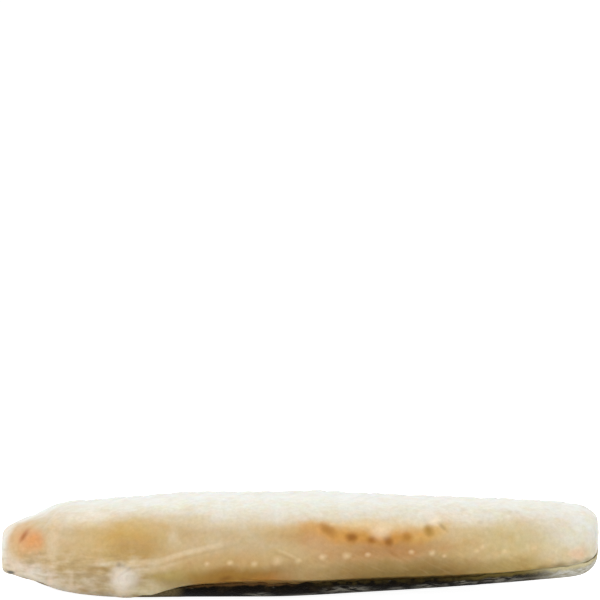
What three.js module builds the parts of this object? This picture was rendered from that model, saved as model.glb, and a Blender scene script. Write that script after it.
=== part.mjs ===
// A raw cod loin: the thick, boneless piece from the back of a cod, lying on its skin.
//
// Millimetres, +Z up. X runs from the head end (-) to the tail end (+), and Y from the trimmed
// side (-) to the back of the fish (+). The origin is on the table, under the middle of the piece.
//
// The piece is a skin that lies under it and wraps up its two sides, and the flesh on that skin.
// Both follow one outline, four quarter curves that change along the piece, and one grid: rows
// that run lengthways, and columns that follow the flakes.

import * as THREE from "three";

// Driving dimensions
const LENGTH = 250;
const WIDTH = 76;
const THICKNESS = 40;
const SKIN_THICKNESS = 1.2;
const SKIN_GAP = 0.4;
const HEAD_ROUNDING = 5;
const TAIL_ROUNDING = 7.5;
const FLAKE_PITCH = 9.2;
const FLAKE_GROOVE = 0.32;
const GROOVE_WIDTH = 2.2;
const SIDE_GROOVE_SHARE = 0.15;
const EDGE_STILL = 0;
const EDGE_CALM = 4.5;

// Slow swells of the flesh, that cross each other, and quicker ones between them
const UNEVENNESS = 0.3;
const SWELL = { x: 11, y: 17 };
const CROSS_SWELL = { x: 31, y: 13, shift: 1 };
const QUICK_SWELL = { x: 6.5, z: 5, height: 0.4 };

// Finishes
const FLESH_COLOUR = 0xe6d6b8;
const FLESH_ROUGHNESS = 0.4;
const SKIN_COLOUR = 0x2e2616;
const SKIN_ROUGHNESS = 0.35;

// Places along the piece are given as shares of its length, from 0 at the head end to 1 at the tail
const HEAD_X = -LENGTH / 2;

// Where the flakes lie: their lines point to the tail at the apex and sweep forward to both sides,
// and on the trimmed side they run back again towards the skin
const FLAKE_APEX_Y = 9;
const FLAKE_APEX_SOFTNESS = 8;
const FLAKE_SWEEP = 0.5;
const SIDE_Y = -0.4 * WIDTH;
const SIDE_DEPTH = 8;
const SHOULDER_Z = 0.82 * THICKNESS;
const SIDE_SWEEP = 0.022;
const SWEEP_FADE = 0.2;

// The lobe of muscle next to the skin on the trimmed side, with the seam over it
const LOBE_START = 0.192;
const LOBE_END = 0.41;
const LOBE_RISE = 2.2;
const LOBE_CLEARANCE = 6;
const LOBE_FADE = 0.03;
const LOBE_TOP = -1.5;
const LOBE_FULL = 3;
const LOBE_THINS_FROM = 0.28;
const LOBE_THINNING = 0.6;
const SEAM_RIDGE = 0.8;
const SEAM_RIDGE_WIDTH = 2.2;
const LUMP_X = -70;
const LUMP_Z = 9.5;
const LUMP_RISE = 2;
const LUMP_SIZE = 5;

// The collar end: a lower lobe behind a crease
const CREASE = 0.082;
const CREASE_DEPTH = 1.3;
const CREASE_WIDTH = 3.2;
const CREASE_END_Y = 0.25 * WIDTH;

// The step under the pale top muscle, where the rib side was trimmed off
const STEP_START = 0.42;
const STEP_END = 0.78;
const STEP_DEPTH = 1.1;
const STEP_WIDTH = 3.2;
const STEP_FADE = 0.06;

// The grid
const UNDER_ROWS = 10;
const BARE_ROWS = 27;
const SKIN_LIP = 1.7;
const BARE_CROWDING = 1.3;
const COLUMNS_PER_FLAKE = 3;
const ROUNDING_COLUMNS = 3;
const CALM_START = 0.32;
const CALM_END = 0.92;
const CAP_RINGS = 3;
const CAP_BULGE = 1.2;
const OUTLINE_STEPS = 180;

// A smooth line through [place, value] pairs, level before the first and after the last
function line(...pairs) {
  const curve = new THREE.CubicInterpolant(
    pairs.map((pair) => pair[0]),
    pairs.map((pair) => pair[1]),
    1,
  );
  return (place) => curve.evaluate(place)[0];
}

// From 0 at start to 1 at end, without a corner
const ramp = THREE.MathUtils.smoothstep;

// From 0 at the edges of a stretch to 1 inside it, over a given run at each edge
function window(value, start, end, run) {
  return ramp(value, start, start + run) * (1 - ramp(value, end - run, end));
}

// A soft bump of height 1 round a place
function bump(distance, size) {
  return Math.exp(-((distance / size) ** 2));
}

// How the outline changes along the piece. Widths are shares of WIDTH, and heights of THICKNESS
const nearSide = line(
  [0, 0.17], [0.03, 0.29], [0.07, 0.37], [0.12, 0.42], [0.2, 0.475], [0.32, 0.5],
  [0.5, 0.5], [0.75, 0.46], [0.9, 0.41], [0.97, 0.36], [1, 0.25],
);
const farSide = line(
  [0, 0.24], [0.04, 0.36], [0.12, 0.44], [0.25, 0.49], [0.4, 0.5], [0.6, 0.48],
  [0.8, 0.42], [0.93, 0.36], [1, 0.29],
);
const crest = line(
  [0, 0.635], [0.03, 0.7], [0.058, 0.755], [0.078, 0.832], [0.1, 0.882], [0.15, 0.897],
  [0.26, 0.965], [0.43, 1], [0.55, 0.985], [0.7, 0.95], [0.85, 0.92], [0.94, 0.88], [1, 0.8],
);
const lift = line(
  [0, 0.19], [0.03, 0.19], [0.06, 0.15], [0.09, 0.09], [0.13, 0.035], [0.18, 0.008], [0.24, 0],
  [0.46, 0], [0.6, 0.045], [0.75, 0.1], [0.9, 0.165], [0.945, 0.19], [0.962, 0.225], [0.978, 0.3], [1, 0.45],
);

// Where the skin's edges lie, as distances down from the widest place of each side, and the
// heights of the seam and of the step on the trimmed side
const nearSkinEdge = line(
  [0, 4.5], [0.02, 8], [0.04, 14], [0.08, 18], [0.2, 18], [0.25, 14.8], [0.3, 10.2],
  [0.35, 8.8], [0.42, 8], [0.5, 8.4], [0.64, 8], [0.74, 8], [0.82, 7.8], [0.9, 6.6], [1, 3.2],
);
const farSkinEdge = line([0, 4], [0.1, 1.5], [0.5, 0.5], [0.9, 1], [1, 2]);
const seamHeight = line([0.19, 11], [0.23, 15.3], [0.27, 16.5], [0.32, 19.8], [0.36, 22.3], [0.41, 24.5]);
const stepHeight = line([0.42, 31], [0.5, 30.5], [0.56, 28], [0.64, 26.5], [0.7, 28.5], [0.74, 31.5]);

const CREST_Y = -0.05 * WIDTH;
const WIDEST_HEIGHT = 0.42;
const SIDE_START_Y = -0.36 * WIDTH;
const SIDE_END_Y = -0.2 * WIDTH;
const QUARTER_POWERS = { nearUnder: 4, farUnder: 2.4, farTop: 2.1, nearTop: 2.7 };

// The share of the length at which a place along X lies
function shareAt(x) {
  return THREE.MathUtils.clamp((x - HEAD_X) / LENGTH, 0, 1);
}

// How far the outline draws in where an end rounds off
function endRounding(x) {
  const head = Math.max(0, HEAD_X + HEAD_ROUNDING - x);
  const tail = Math.max(0, x - (LENGTH / 2 - TAIL_ROUNDING));
  const drawIn = (reach, radius) => radius - Math.sqrt(Math.max(0, radius ** 2 - reach ** 2));
  return drawIn(head, HEAD_ROUNDING) + drawIn(tail, TAIL_ROUNDING);
}

// One quarter of the outline: how far along its two half widths a turn has come
function quarter(turn, power) {
  const reach = (value) => Math.sign(value) * Math.abs(value) ** (2 / power);
  return [reach(Math.cos(turn)), reach(Math.sin(turn))];
}

// The closed outline at one place along the piece, as points with their distance along it. It
// starts at the widest place of the near side and goes down, under the piece, up the far side and
// back over the top.
function outlineAt(x) {
  const share = shareAt(x);
  const inset = endRounding(x);
  const bottom = Math.max(0, lift(share)) * THICKNESS;
  const top = crest(share) * THICKNESS;
  const middle = bottom + WIDEST_HEIGHT * (top - bottom);
  const near = CREST_Y + nearSide(share) * WIDTH - inset;
  const far = farSide(share) * WIDTH - CREST_Y - inset;
  const below = middle - bottom - inset;
  const above = top - middle - inset;
  const points = [];
  for (let step = 0; step <= OUTLINE_STEPS; step++) {
    const turn = (2 * Math.PI * step) / OUTLINE_STEPS;
    const isNear = Math.cos(turn) > 0;
    const isUnder = Math.sin(turn) > 0;
    const under = isNear ? QUARTER_POWERS.nearUnder : QUARTER_POWERS.farUnder;
    const over = isNear ? QUARTER_POWERS.nearTop : QUARTER_POWERS.farTop;
    const [across, down] = quarter(turn, isUnder ? under : over);
    const y = CREST_Y - across * (isNear ? near : far);
    const z = middle - down * (isUnder ? below : above);
    const last = points.at(-1);
    const run = last ? last.run + Math.hypot(y - last.y, z - last.z) : 0;
    points.push({ y, z, run });
  }
  return points;
}

// The point of an outline at a distance along it
function pointAlong(points, distance) {
  const whole = points.at(-1).run;
  const wanted = THREE.MathUtils.euclideanModulo(distance, whole);
  let step = 1;
  while (points[step].run < wanted) step++;
  const [before, after] = [points[step - 1], points[step]];
  const part = (wanted - before.run) / (after.run - before.run || 1);
  return {
    y: THREE.MathUtils.lerp(before.y, after.y, part),
    z: THREE.MathUtils.lerp(before.z, after.z, part),
  };
}

// The distances along an outline at which the rows lie: first those on the skin, from its near
// edge to its far edge, then those on the bare flesh, over the top and back to the near edge
function rowDistances(points, share) {
  const whole = points.at(-1).run;
  const under = points[OUTLINE_STEPS / 2].run;
  const nearEdge = nearSkinEdge(share);
  const farEdge = under - farSkinEdge(share);
  const distances = [];
  for (let row = 0; row < UNDER_ROWS; row++) {
    const part = (1 - Math.cos((Math.PI * row) / UNDER_ROWS)) / 2;
    distances.push(THREE.MathUtils.lerp(nearEdge, farEdge, part));
  }
  distances.push(farEdge);
  const bareStart = farEdge + SKIN_LIP;
  const bareEnd = whole + nearEdge - SKIN_LIP;
  for (let row = 0; row <= BARE_ROWS; row++) {
    const part = 1 - (1 - row / BARE_ROWS) ** BARE_CROWDING;
    distances.push(THREE.MathUtils.lerp(bareStart, bareEnd, part));
  }
  return distances;
}

// How far towards the tail a flake's line lies at a point, against where it is at its apex
function flakeSweep(y, z) {
  const fromApex = y - FLAKE_APEX_Y;
  const chevron = Math.hypot(fromApex, FLAKE_APEX_SOFTNESS) - FLAKE_APEX_SOFTNESS;
  const onSide = 1 - ramp(y, SIDE_Y, SIDE_Y + SIDE_DEPTH);
  const below = Math.max(0, SHOULDER_Z - z);
  return -FLAKE_SWEEP * chevron + SIDE_SWEEP * onSide * below ** 2;
}

// Flakes are uneven: the line of flake number n lies at this place
function flakePlace(number) {
  return FLAKE_PITCH * (number + 0.16 * Math.sin(1.1 * number) + 0.1 * Math.sin(2.3 * number + 1));
}

// The flake that a place falls in, as a number whose whole part counts the flakes
function flakeNumber(place) {
  let number = place / FLAKE_PITCH;
  for (let round = 0; round < 6; round++) {
    number -= (flakePlace(number) - place) / FLAKE_PITCH;
  }
  return number;
}

// How far the surface of the flesh stands out from, or lies in from, the plain outline. It is
// calmer close to the skin's edges. The distance to the nearer one is toSkin
function relief({ x, y, z }, toSkin) {
  const share = shareAt(x);
  const onTrimmedSide = 1 - ramp(y, SIDE_START_Y, SIDE_END_Y);
  const number = flakeNumber(x - flakeSweep(y, z));
  const toLine = Math.abs(number - Math.round(number)) * FLAKE_PITCH;
  const isFlaky = window(share, 0.02, 0.98, 0.06) * THREE.MathUtils.lerp(1, SIDE_GROOVE_SHARE, onTrimmedSide);
  const flakes = -FLAKE_GROOVE * isFlaky * (1 - ramp(toLine, 0, GROOVE_WIDTH));

  const underSeam = seamHeight(share) - z;
  const clearOfTable = ramp(z, 0, LOBE_CLEARANCE);
  const lobeReach = window(share, LOBE_START, LOBE_END, LOBE_FADE) * clearOfTable * onTrimmedSide;
  const thinning = 1 - LOBE_THINNING * ramp(share, LOBE_THINS_FROM, LOBE_END);
  const lobe = LOBE_RISE * lobeReach * thinning * ramp(underSeam, LOBE_TOP, LOBE_FULL);
  const ridge = SEAM_RIDGE * lobeReach * bump(underSeam, SEAM_RIDGE_WIDTH);
  const toLump = Math.hypot(x - LUMP_X, z - LUMP_Z);
  const lump = LUMP_RISE * onTrimmedSide * clearOfTable * bump(toLump, LUMP_SIZE);

  const creaseReach = 1 - ramp(y, SIDE_END_Y, CREASE_END_Y);
  const crease = -CREASE_DEPTH * creaseReach * bump((share - CREASE) * LENGTH, CREASE_WIDTH);
  const stepReach = window(share, STEP_START, STEP_END, STEP_FADE) * onTrimmedSide;
  const step = -STEP_DEPTH * stepReach * bump(stepHeight(share) - z - STEP_WIDTH, STEP_WIDTH);

  const swell = Math.sin(x / SWELL.x + y / SWELL.y);
  const crossing = Math.sin(y / CROSS_SWELL.y - x / CROSS_SWELL.x + CROSS_SWELL.shift);
  const quick = QUICK_SWELL.height * Math.sin(x / QUICK_SWELL.x + z / QUICK_SWELL.z);
  const all = flakes + lobe + ridge + lump + crease + step + UNEVENNESS * (swell * crossing + quick);
  return all * ramp(toSkin, EDGE_STILL, EDGE_CALM);
}

// Columns along the piece: close together where the ends round off, and between them at the
// flakes' lines and thirds
function columnPlaces() {
  const start = HEAD_X + HEAD_ROUNDING;
  const end = LENGTH / 2 - TAIL_ROUNDING;
  const places = [];
  for (let column = 0; column < ROUNDING_COLUMNS; column++) {
    const turn = (Math.PI / 2) * (column / ROUNDING_COLUMNS);
    places.push(start - HEAD_ROUNDING * Math.cos(turn));
  }
  const first = Math.ceil(flakeNumber(start) * COLUMNS_PER_FLAKE + 0.5);
  const last = Math.floor(flakeNumber(end) * COLUMNS_PER_FLAKE - 0.5);
  places.push(start);
  for (let count = first; count <= last; count++) {
    places.push(flakePlace(count / COLUMNS_PER_FLAKE));
  }
  places.push(end);
  for (let column = 1; column <= ROUNDING_COLUMNS; column++) {
    const turn = (Math.PI / 2) * (column / ROUNDING_COLUMNS);
    places.push(end + TAIL_ROUNDING * Math.sin(turn));
  }
  return places;
}

// The plain outer surface: for each column, a ring of points, one for each row
function outerGrid() {
  return columnPlaces().map((place) => {
    const share = shareAt(place);
    const straight = outlineAt(place);
    const isFlaky = window(share, 0, 1, SWEEP_FADE);
    return rowDistances(straight, share).map((distance, row) => {
      const { y, z } = pointAlong(straight, distance);
      const isBare = row > UNDER_ROWS ? 1 : 0;
      const x = place + isBare * isFlaky * flakeSweep(y, z);
      const points = outlineAt(x);
      const along = rowDistances(points, shareAt(x))[row];
      const point = pointAlong(points, along);
      return new THREE.Vector3(x, point.y, point.z);
    });
  });
}

// The outward direction at each point of a grid of rings
function normalsOf(grid) {
  return grid.map((ring, column) => {
    const before = grid[Math.max(0, column - 1)];
    const after = grid[Math.min(grid.length - 1, column + 1)];
    return ring.map((point, row) => {
      const next = ring[(row + 1) % ring.length];
      const previous = ring[(row + ring.length - 1) % ring.length];
      const along = new THREE.Vector3().subVectors(after[row], before[row]);
      const around = new THREE.Vector3().subVectors(next, previous);
      return around.cross(along).normalize();
    });
  });
}

// A closed mesh from points and the triangles between them
function meshOf(name, points, triangles, colour, roughness) {
  const geometry = new THREE.BufferGeometry().setFromPoints(points);
  geometry.setIndex(triangles);
  geometry.computeVertexNormals();
  const material = new THREE.MeshStandardMaterial({ color: colour, roughness, metalness: 0 });
  const mesh = new THREE.Mesh(geometry, material);
  mesh.name = name;
  return mesh;
}

// Two triangles for the four corners a, b, c, d of a patch, in turn round it
function patch(triangles, a, b, c, d) {
  triangles.push(a, b, c, a, c, d);
}

// Closes one end of the flesh with rings that close in on its middle, bulging a little
function addCap(points, triangles, ring, isTail) {
  const count = ring.length;
  const middle = new THREE.Vector3();
  ring.forEach((index) => middle.add(points[index]));
  middle.divideScalar(count);
  const join = (a, b, c, d) => (isTail ? patch(triangles, a, b, c, d) : patch(triangles, a, d, c, b));
  let outer = ring;
  for (let step = 1; step < CAP_RINGS; step++) {
    const part = step / CAP_RINGS;
    const bulge = CAP_BULGE * (1 - (1 - part) ** 2) * (isTail ? 1 : -1);
    const inner = ring.map((index) => {
      const point = points[index].clone().lerp(middle, part);
      point.x += bulge;
      return points.push(point) - 1;
    });
    outer.forEach((a, row) => {
      const next = (row + 1) % count;
      join(a, outer[next], inner[next], inner[row]);
    });
    outer = inner;
  }
  middle.x += CAP_BULGE * (isTail ? 1 : -1);
  const centre = points.push(middle) - 1;
  outer.forEach((a, row) => {
    const b = outer[(row + 1) % count];
    triangles.push(...(isTail ? [a, b, centre] : [b, a, centre]));
  });
}

// The flesh: the whole form, less the skin and a hair's gap where the skin covers it
function fleshMesh(grid, normals) {
  const rows = grid[0].length;
  const points = [];
  grid.forEach((ring, column) => {
    ring.forEach((point, row) => {
      const isCovered = row <= UNDER_ROWS;
      const toSkin = Math.min(point.distanceTo(ring[0]), point.distanceTo(ring[UNDER_ROWS]));
      const out = isCovered ? -(SKIN_THICKNESS + SKIN_GAP) : relief(point, toSkin);
      points.push(point.clone().addScaledVector(normals[column][row], out));
    });
  });
  const triangles = [];
  for (let column = 0; column < grid.length - 1; column++) {
    for (let row = 0; row < rows; row++) {
      const next = (row + 1) % rows;
      const [a, b] = [column * rows + row, column * rows + next];
      patch(triangles, a, b, b + rows, a + rows);
    }
  }
  const firstRing = grid[0].map((_, row) => row);
  const lastRing = firstRing.map((row) => (grid.length - 1) * rows + row);
  addCap(points, triangles, firstRing, false);
  addCap(points, triangles, lastRing, true);
  return meshOf("flesh", points, triangles, FLESH_COLOUR, FLESH_ROUGHNESS);
}

// The skin: a sheet of even thickness under the flesh, from its near edge to its far edge. It
// takes every second column, but all of them near the ends, where its edges bend most
function skinMesh(grid, normals) {
  const columns = grid.map((_, column) => column).slice(1, -1).filter((column) => {
    const isCalm = column > CALM_START * grid.length && column < CALM_END * grid.length;
    return !isCalm || column % 2 === 0;
  });
  const width = UNDER_ROWS + 1;
  const points = [];
  const inside = columns.length * width;
  for (const depth of [0, SKIN_THICKNESS]) {
    for (const column of columns) {
      for (let row = 0; row < width; row++) {
        points.push(grid[column][row].clone().addScaledVector(normals[column][row], -depth));
      }
    }
  }
  const triangles = [];
  for (let column = 0; column < columns.length - 1; column++) {
    for (let row = 0; row < width - 1; row++) {
      const a = column * width + row;
      patch(triangles, a, a + 1, a + 1 + width, a + width);
      patch(triangles, inside + a, inside + a + width, inside + a + 1 + width, inside + a + 1);
    }
    const near = column * width;
    const far = near + width - 1;
    patch(triangles, near, near + width, inside + near + width, inside + near);
    patch(triangles, far, inside + far, inside + far + width, far + width);
  }
  const lastStart = (columns.length - 1) * width;
  for (let row = 0; row < width - 1; row++) {
    const tail = lastStart + row;
    patch(triangles, row, inside + row, inside + row + 1, row + 1);
    patch(triangles, tail, tail + 1, inside + tail + 1, inside + tail);
  }
  return meshOf("skin", points, triangles, SKIN_COLOUR, SKIN_ROUGHNESS);
}

const grid = outerGrid();
const normals = normalsOf(grid);
const loin = new THREE.Group();
loin.add(fleshMesh(grid, normals), skinMesh(grid, normals));

// The relief makes the sides a little unlike, so the whole is set with its middle over the origin
const box = new THREE.Box3().setFromObject(loin);
const middle = box.getCenter(new THREE.Vector3());
loin.position.set(-middle.x, -middle.y, -box.min.z);

export default loin;
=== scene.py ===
"""A raw cod loin lying on its skin: the finish of its flesh and skin, and the studio it is shown in.

Shapes are worked out in millimetres and stored in metres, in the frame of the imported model: X runs
from the head end to the tail end, and the trimmed side faces -Y. A place on the trimmed side is
given as its X and its height on the plane SIDE_PLANE, seen from a little above.
"""

import math

import bmesh
import bpy
import numpy as np
from bpy.props import FloatProperty, FloatVectorProperty, PointerProperty
from bpy.types import Operator, Panel, PropertyGroup
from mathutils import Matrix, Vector, noise
from mathutils.bvhtree import BVHTree


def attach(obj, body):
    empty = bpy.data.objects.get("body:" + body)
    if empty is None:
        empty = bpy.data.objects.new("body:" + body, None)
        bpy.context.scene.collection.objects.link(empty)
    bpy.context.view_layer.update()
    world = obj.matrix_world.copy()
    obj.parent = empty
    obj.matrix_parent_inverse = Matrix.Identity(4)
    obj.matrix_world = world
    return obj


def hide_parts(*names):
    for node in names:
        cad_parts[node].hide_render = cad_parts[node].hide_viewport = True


bl_info = {
    "name": "Raw cod loin",
    "version": (1, 0, 0),
    "blender": (4, 5, 0),
    "location": "3D View > Sidebar > Cod loin",
    "description": "Dresses the flesh and skin of a raw cod loin and sets it in a studio",
    "category": "Object",
}

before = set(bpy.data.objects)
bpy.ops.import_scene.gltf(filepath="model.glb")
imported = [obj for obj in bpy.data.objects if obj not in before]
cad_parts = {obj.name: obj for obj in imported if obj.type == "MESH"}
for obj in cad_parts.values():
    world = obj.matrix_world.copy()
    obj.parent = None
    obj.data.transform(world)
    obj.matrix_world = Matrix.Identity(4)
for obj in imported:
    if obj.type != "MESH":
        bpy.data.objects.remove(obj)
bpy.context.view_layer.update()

MM = 0.001

# The flakes, as the solid has them: its sections are drawn about a line SECTIONS_Y off the middle
SECTIONS_Y = 1.15
FLAKE_PITCH = 9.2
APEX_Y = 9.0
APEX_SOFTNESS = 8.0
CHEVRON_SWEEP = 0.5
SIDE_Y = -30.4
SIDE_DEPTH = 8.0
SHOULDER_Z = 32.8
SIDE_SWEEP = 0.022

# The plane on which places on the trimmed side are given, and how steeply it is seen
SIDE_PLANE = -38.0
VIEW_SLOPE = 0.17

# How far the skin's edge is drawn up to the flesh near the tail
TAIL_EDGE_LIFT = 1.1

# Past this length the ends are pressed blunt, each to a face turned a little to the near side
END_REACH = 123.5
END_MIDDLE = -0.5
END_TURN = 0.178
END_SOFTNESS = 0.8
END_PRESS = 0.85

# How steeply the fibres of the trimmed side run down towards the tail, in degrees
FIBRE_SLANT = 27

# The seam over the lobe of muscle next to the skin, as x and height, and how far the cleft lies under it
SEAM = (
    (-79, 8.5), (-73.7, 12.5), (-66.7, 17.2), (-55.7, 18.0),
    (-45.9, 21.1), (-36.1, 23.5), (-25.9, 25.9), (-18, 27),
)
CLEFT_BELOW = 2.0

# The middle of the white lump where that lobe starts, as x and height
LUMP = (-69.5, 11.5)

# Pin-bone spots on the trimmed side: x, height, half length, half height, turn, colour on a screen
PIN_BONES = (
    (10.6, 30.2, 2.7, 1.3, -35, (174, 122, 48)),
    (20.0, 27.3, 1.6, 1.3, 0, (146, 88, 20)),
    (27.8, 26.2, 1.4, 1.0, 0, (164, 106, 34)),
    (34.5, 25.7, 1.2, 1.5, 20, (150, 94, 24)),
    (41.9, 27.4, 1.5, 1.3, 0, (176, 122, 48)),
    (50.6, 30.0, 1.3, 1.6, 15, (172, 132, 60)),
    (55.8, 31.8, 2.0, 0.6, -45, (190, 160, 112)),
)

# Pale dots where the flakes meet the cut, pale tissue whose colour also carries painted glints of light on
# the flake tips: x, height, radius
FAT_DOTS_AND_GLINTS = (
    (-36.9, 16.8, 0.6), (-27.8, 17.2, 0.7), (-18.4, 16.8, 0.7), (-9.4, 18.0, 1.1), (-1.2, 18.0, 0.7),
    (8.6, 19.6, 0.8), (18.0, 20.0, 0.9), (26.3, 20.4, 0.6), (43.5, 21.5, 0.6), (51.8, 21.1, 0.7),
    (56.5, 20.0, 0.5), (69.4, 21.9, 0.6), (71.8, 23.5, 0.7), (80.8, 21.5, 0.8), (92.5, 23.1, 0.6),
)

# Small pits over the white lump, and small nicks near the tail, both darkened in colour with painted shade:
# x, height, radius
CREVICES = ((-71.8, 16.4, 0.8), (-69.6, 15.6, 0.7), (-67.7, 14.9, 0.7))
NICKS = ((65.4, 38.5, 0.7), (71.3, 33.0, 0.8), (73.7, 30.2, 0.7), (78.8, 23.1, 0.8), (83.9, 37.3, 0.6))

# How far the marks and fibres of the flesh stand out or lie in
RIDGE_RISE = 0.12
CLEFT_DEPTH = 0.1
DOT_RISE = 0.15
PIT_DEPTH = 0.1
CREVICE_DEPTH = 0.4
NICK_DEPTH = 0.12
LUMP_RISE = 0.6
SIDE_FIBRE_RISE = 0.015
TOP_FIBRE_RISE = 0.05
GRAIN_RISE = 0.015

# How often the fold over the lip at the tail end is evened out
TAIL_FOLD_ROUNDS = 80

# The lowest outline of the skin on the trimmed side: its height, and where and how steeply it rises
LOWEST = 4.2
LOWEST_FROM = -5.0
LOWEST_SLOPE = 0.0715

# The small dark spot on the skin by the tip of the head end
TIP_SPOT_X = -115.4

# Slices across the piece are counted from this far on either side of its middle
SLICED_TO = 130

# The camera: the height that it aims at and its place across, and its turn down in degrees
AIM_HEIGHT = 18.0
CAMERA_X = -0.42
CAMERA_DOWN = 1.69

# The table's radius in metres, and how bright the ground behind it is to the camera
TABLE_RADIUS = 6.0
GROUND_BEHIND = 1.05

# The softboxes, in metres and watts: name, place, what each aims at, size, power
SOFTBOXES = (
    ("over", (0.1, 0.25, 1.3), (0, 0, 0), (1.6, 1.2), 4.5),
    ("front", (-0.7, -1.5, 0.9), (0, 0, 0.02), (1.2, 0.8), 11.4),
)

# Up to this value of 255, a screen's colours rise in a straight line
SCREEN_TOE = 10.31


def srgb(red, green, blue):
    """A colour given as 0 to 255 on a screen, as the linear values that shaders take."""
    linear = []
    for value in (red, green, blue):
        if value < SCREEN_TOE:
            linear.append(value / 12.92 / 255)
        else:
            linear.append(((value / 255 + 0.055) / 1.055) ** 2.4)
    return tuple(linear)


# Sizes and colours


class FleshSettings(PropertyGroup):
    """Sizes and colours of the flesh."""

    unevenness: FloatProperty(
        name="Unevenness",
        description="How far the surface swells and sinks",
        default=0.35 * MM,
        unit="LENGTH",
    )
    flake_step: FloatProperty(
        name="Flake step",
        description="How far each flake stands over the next",
        default=0.3 * MM,
        unit="LENGTH",
    )
    top_colour: FloatVectorProperty(
        name="Top",
        description="The pale muscle on top",
        subtype="COLOR",
        default=srgb(224, 227, 223),
        min=0,
        max=1,
    )


class SkinSettings(PropertyGroup):
    """Sizes and colours of the skin."""

    edge_wave: FloatProperty(
        name="Edge wave",
        description="How far the skin's cut edge wanders",
        default=0.8 * MM,
        unit="LENGTH",
    )
    scale_size: FloatProperty(
        name="Scale size",
        description="Width of one scale",
        default=1.6 * MM,
        unit="LENGTH",
    )
    dark_colour: FloatVectorProperty(
        name="Dark",
        description="The darkest skin",
        subtype="COLOR",
        default=srgb(12, 8, 4),
        min=0,
        max=1,
    )


class StageSettings(PropertyGroup):
    """The camera, lights and floor."""

    lens: FloatProperty(name="Lens", description="Focal length", default=100, unit="CAMERA")
    distance: FloatProperty(
        name="Distance",
        description="From the camera to the piece",
        default=0.7,
        unit="LENGTH",
    )
    rise: FloatProperty(
        name="Rise",
        description="How high the camera stands over the piece",
        default=math.radians(10),
        subtype="ANGLE",
    )
    sky: FloatProperty(name="Sky", description="Strength of the light from all round", default=0.7, min=0)
    wall: FloatProperty(name="Wall", description="Strength of the bright wall behind", default=1.1, min=0)
    floor_glow: FloatProperty(name="Floor glow", description="Light given by the table", default=0.95, min=0)


# Helpers for shape


def soft_step(value, low, high):
    """From 0 at low to 1 at high, without a corner."""
    part = np.clip((value - low) / (high - low), 0, 1)
    return part * part * (3 - 2 * part)


def bump(distance, size):
    """A soft bump of height 1."""
    return np.exp(-((distance / size) ** 2))


def grain(points, lengths, seed=0.0):
    """Smooth noise from -1 to 1 at each point, with features as long as lengths along each axis."""
    places = points / np.array(lengths) + seed
    return np.array([noise.noise(Vector(place)) for place in places.tolist()])


def flake_number(points):
    """The flake each point lies in, as a number whose whole part counts the flakes."""
    x, y, z = points[:, 0], points[:, 1] - SECTIONS_Y, points[:, 2]
    chevron = np.hypot(y - APEX_Y, APEX_SOFTNESS) - APEX_SOFTNESS
    on_side = 1 - soft_step(y, SIDE_Y, SIDE_Y + SIDE_DEPTH)
    below = np.maximum(0, SHOULDER_Z - z)
    place = x + CHEVRON_SWEEP * chevron - SIDE_SWEEP * on_side * below**2
    number = place / FLAKE_PITCH
    # the flakes vary in width as they do in the solid, and a few rounds find the number at each place
    for _ in range(6):
        line = number + 0.16 * np.sin(1.1 * number) + 0.1 * np.sin(2.3 * number + 1)
        number -= line - place / FLAKE_PITCH
    return number


def side_height(points):
    """The height at which a point shows on the plane of the trimmed side."""
    return points[:, 2] + VIEW_SLOPE * (points[:, 1] - SIDE_PLANE)


def seam_height(x):
    """Height of the seam at places along the piece."""
    return np.interp(x, [place[0] for place in SEAM], [place[1] for place in SEAM])


def slices(x, width):
    """The slice across the piece in which each place lies, as a number, and the slices' middles."""
    count = 2 * SLICED_TO // width + 1
    numbers = np.clip(((x + SLICED_TO) / width).astype(int), 0, count - 1)
    return numbers, width * (np.arange(count) + 0.5) - SLICED_TO


def start_piece(node, name):
    """A copy of a CAD node as a new piece, with its loose triangles merged and paired into quads."""
    piece = bpy.data.objects.new(name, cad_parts[node].data.copy())
    bpy.context.scene.collection.objects.link(piece)
    piece.data.materials.clear()
    bpy.ops.object.select_all(action="DESELECT")
    piece.select_set(True)
    bpy.context.view_layer.objects.active = piece
    bpy.ops.mesh.customdata_custom_splitnormals_clear()
    bpy.ops.object.mode_set(mode="EDIT")
    bpy.ops.mesh.select_all(action="SELECT")
    bpy.ops.mesh.remove_doubles(threshold=0.01 * MM)
    bpy.ops.mesh.tris_convert_to_quads(face_threshold=math.radians(60), shape_threshold=math.radians(60))
    bpy.ops.object.mode_set(mode="OBJECT")
    return piece


def subdivide(piece, levels, kind="CATMULL_CLARK"):
    """Subdivides a piece, with or without rounding it off."""
    modifier = piece.modifiers.new("Subdivide", "SUBSURF")
    modifier.subdivision_type = kind
    modifier.levels = levels
    modifier.render_levels = levels
    bpy.ops.object.modifier_apply(modifier=modifier.name)


def relax(piece, rounds, weights=None):
    """Evens out the corners between facets, everywhere or by the weight of each point."""
    modifier = piece.modifiers.new("Relax", "SMOOTH")
    modifier.factor = 0.5
    modifier.iterations = rounds
    if weights is not None:
        group = piece.vertex_groups.new(name="relaxed")
        for index in np.flatnonzero(weights > 0.01).tolist():
            group.add([index], float(weights[index]), "REPLACE")
        modifier.vertex_group = group.name
    bpy.ops.object.modifier_apply(modifier=modifier.name)
    piece.vertex_groups.clear()


def read_points(mesh):
    """The points and normals of a mesh, in millimetres."""
    count = len(mesh.vertices)
    points = np.empty(count * 3, np.float32)
    normals = np.empty(count * 3, np.float32)
    mesh.vertices.foreach_get("co", points)
    mesh.vertices.foreach_get("normal", normals)
    return points.reshape(-1, 3).astype(float) / MM, normals.reshape(-1, 3).astype(float)


def write_points(mesh, points):
    """Moves a mesh's points, given in millimetres."""
    mesh.vertices.foreach_set("co", (points * MM).astype(np.float32).ravel())
    mesh.update()


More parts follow.
